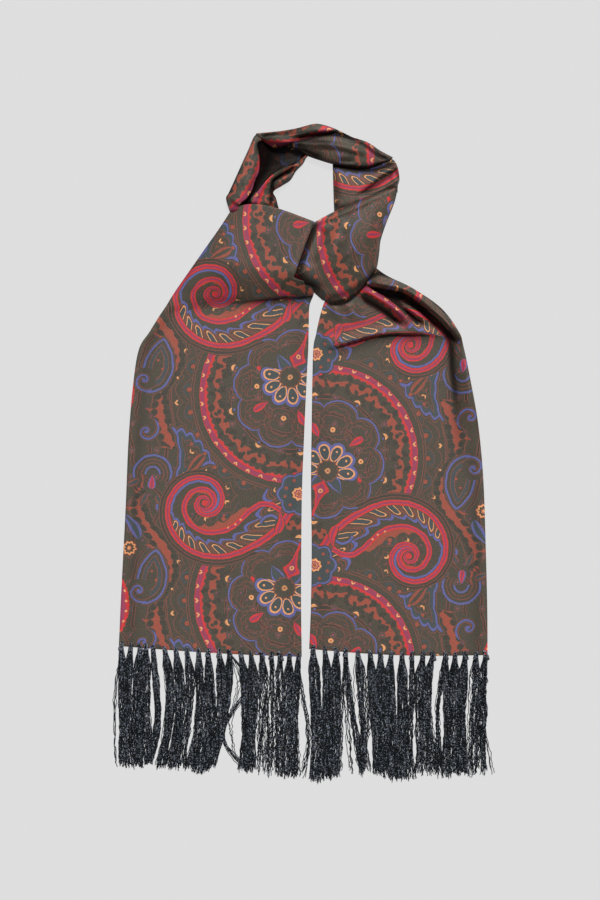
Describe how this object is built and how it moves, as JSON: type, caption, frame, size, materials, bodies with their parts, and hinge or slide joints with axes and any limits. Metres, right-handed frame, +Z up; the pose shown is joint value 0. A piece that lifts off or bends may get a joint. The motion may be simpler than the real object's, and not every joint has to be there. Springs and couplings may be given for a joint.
{
  "type": "silk scarf",
  "caption": "Long fringed silk scarf with a paisley print, tied in a loose half knot around an open neck loop and laid flat, both tails side by side.",
  "frame": {"origin": "the middle of the scarf's plan, on the surface that it lies on", "axes": "+Z up out of the surface; +Y along the tails, from the fringe towards the neck loop; +X across, towards the tail that leaves the knot gathered"},
  "size_m": [0.5212, 0.9098, 0.0213],
  "materials": {
    "printed_silk": "soft silk twill with a low sheen, olive ground printed in red, rust, blue and gold",
    "fringe_yarn": "dark blue-grey twisted silk yarn, a little glossy"
  },
  "bodies": {
    "root": {"neck_back": "printed_silk", "neck_left": "printed_silk", "neck_right": "printed_silk", "knot_front": "printed_silk", "knot_core": "printed_silk", "tail_left": "printed_silk", "tail_right": "printed_silk", "fringe_left": "fringe_yarn", "fringe_right": "fringe_yarn"}
  },
  "joints": []
}
